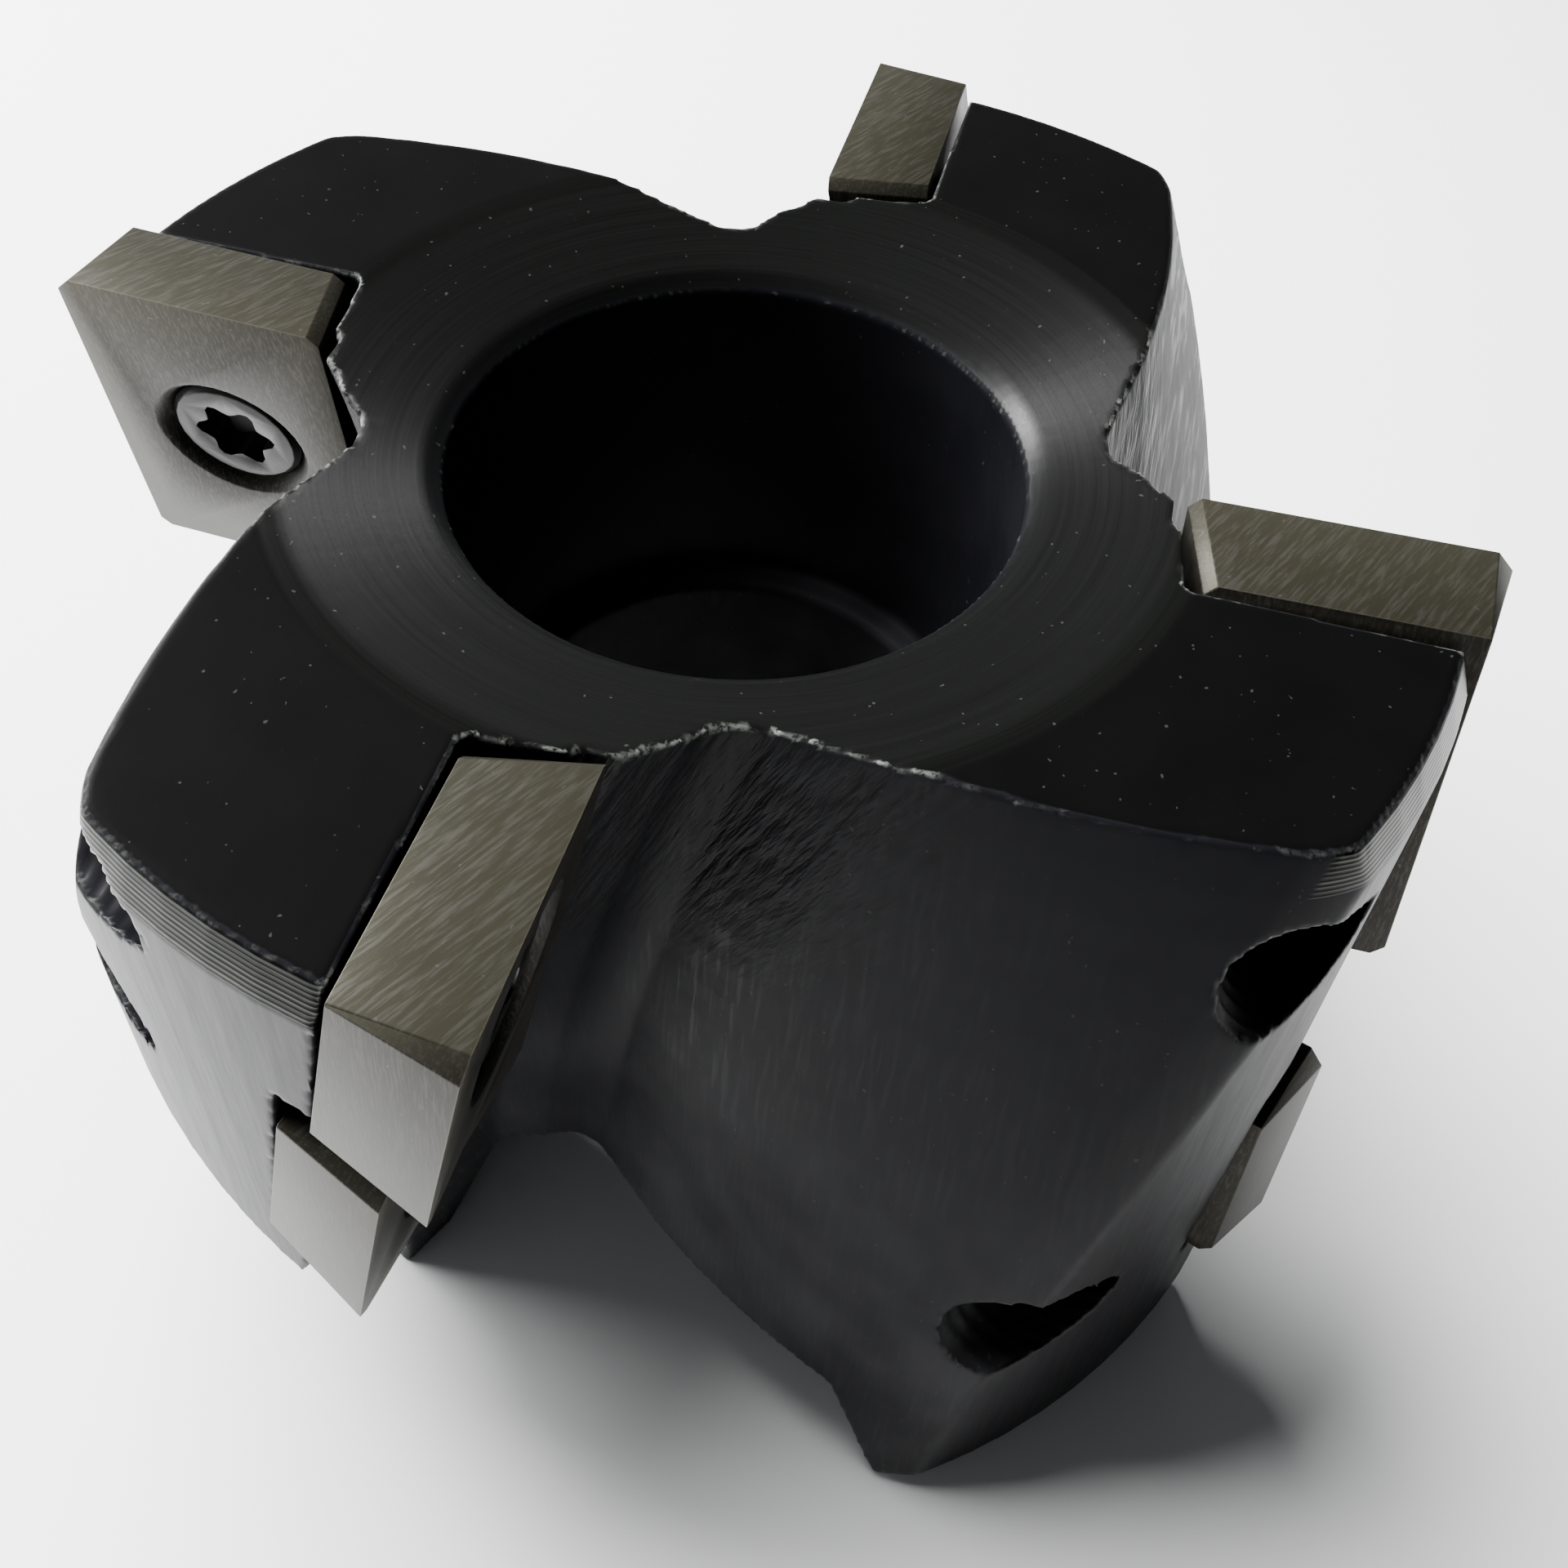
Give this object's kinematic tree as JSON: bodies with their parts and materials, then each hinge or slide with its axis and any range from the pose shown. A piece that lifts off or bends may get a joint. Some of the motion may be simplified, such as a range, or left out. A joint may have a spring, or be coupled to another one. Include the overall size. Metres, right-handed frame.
{
  "type": "indexable face mill",
  "caption": "Shell face mill: helical four-lobe steel cutter body with two staggered rows of screwed carbide inserts and an arbor bore.",
  "frame": {"origin": "centre of the arbor face, on the tool's axis, at the base", "axes": "+Z along the tool's axis to the cutting end; +X along the radial line of tooth 1 at the cutting end"},
  "size_m": [0.0636, 0.064, 0.04],
  "materials": {
    "black_oxide_steel": "black oxide, satin, bright at worn edges",
    "carbide": "ground grey carbide with fine grinding lines",
    "screw_steel": "satin steel"
  },
  "bodies": {
    "cutter": {"cutter_body": "black_oxide_steel"},
    "insert_1_row1": {"insert_1_row1": "carbide"},
    "screw_1_row1": {"screw_1_row1": "screw_steel"},
    "insert_1_row2": {"insert_1_row2": "carbide"},
    "screw_1_row2": {"screw_1_row2": "screw_steel"},
    "insert_2_row1": {"insert_2_row1": "carbide"},
    "screw_2_row1": {"screw_2_row1": "screw_steel"},
    "insert_2_row2": {"insert_2_row2": "carbide"},
    "screw_2_row2": {"screw_2_row2": "screw_steel"},
    "insert_3_row1": {"insert_3_row1": "carbide"},
    "screw_3_row1": {"screw_3_row1": "screw_steel"},
    "insert_3_row2": {"insert_3_row2": "carbide"},
    "screw_3_row2": {"screw_3_row2": "screw_steel"},
    "insert_4_row1": {"insert_4_row1": "carbide"},
    "screw_4_row1": {"screw_4_row1": "screw_steel"},
    "insert_4_row2": {"insert_4_row2": "carbide"},
    "screw_4_row2": {"screw_4_row2": "screw_steel"}
  },
  "joints": [
    {"name": "insert_1_row1_lift", "type": "slide", "parent": "cutter", "child": "insert_1_row1", "axis": [0.0343, 0.981, -0.1908], "range_m": [0, 0.01]},
    {"name": "screw_1_row1_back_out", "type": "slide", "parent": "insert_1_row1", "child": "screw_1_row1", "axis": [0.0343, 0.981, -0.1908], "range_m": [0, 0.014]},
    {"name": "insert_1_row2_lift", "type": "slide", "parent": "cutter", "child": "insert_1_row2", "axis": [0.1569, 0.969, -0.1908], "range_m": [0, 0.01]},
    {"name": "screw_1_row2_back_out", "type": "slide", "parent": "insert_1_row2", "child": "screw_1_row2", "axis": [0.1569, 0.969, -0.1908], "range_m": [0, 0.014]},
    {"name": "insert_2_row1_lift", "type": "slide", "parent": "cutter", "child": "insert_2_row1", "axis": [-0.981, 0.0343, -0.1908], "range_m": [0, 0.01]},
    {"name": "screw_2_row1_back_out", "type": "slide", "parent": "insert_2_row1", "child": "screw_2_row1", "axis": [-0.981, 0.0343, -0.1908], "range_m": [0, 0.014]},
    {"name": "insert_2_row2_lift", "type": "slide", "parent": "cutter", "child": "insert_2_row2", "axis": [-0.9224, 0.3357, -0.1908], "range_m": [0, 0.01]},
    {"name": "screw_2_row2_back_out", "type": "slide", "parent": "insert_2_row2", "child": "screw_2_row2", "axis": [-0.9224, 0.3357, -0.1908], "range_m": [0, 0.014]},
    {"name": "insert_3_row1_lift", "type": "slide", "parent": "cutter", "child": "insert_3_row1", "axis": [-0.0343, -0.981, -0.1908], "range_m": [0, 0.01]},
    {"name": "screw_3_row1_back_out", "type": "slide", "parent": "insert_3_row1", "child": "screw_3_row1", "axis": [-0.0343, -0.981, -0.1908], "range_m": [0, 0.014]},
    {"name": "insert_3_row2_lift", "type": "slide", "parent": "cutter", "child": "insert_3_row2", "axis": [-0.1569, -0.969, -0.1908], "range_m": [0, 0.01]},
    {"name": "screw_3_row2_back_out", "type": "slide", "parent": "insert_3_row2", "child": "screw_3_row2", "axis": [-0.1569, -0.969, -0.1908], "range_m": [0, 0.014]},
    {"name": "insert_4_row1_lift", "type": "slide", "parent": "cutter", "child": "insert_4_row1", "axis": [0.981, -0.0343, -0.1908], "range_m": [0, 0.01]},
    {"name": "screw_4_row1_back_out", "type": "slide", "parent": "insert_4_row1", "child": "screw_4_row1", "axis": [0.981, -0.0343, -0.1908], "range_m": [0, 0.014]},
    {"name": "insert_4_row2_lift", "type": "slide", "parent": "cutter", "child": "insert_4_row2", "axis": [0.9224, -0.3357, -0.1908], "range_m": [0, 0.01]},
    {"name": "screw_4_row2_back_out", "type": "slide", "parent": "insert_4_row2", "child": "screw_4_row2", "axis": [0.9224, -0.3357, -0.1908], "range_m": [0, 0.014]}
  ]
}
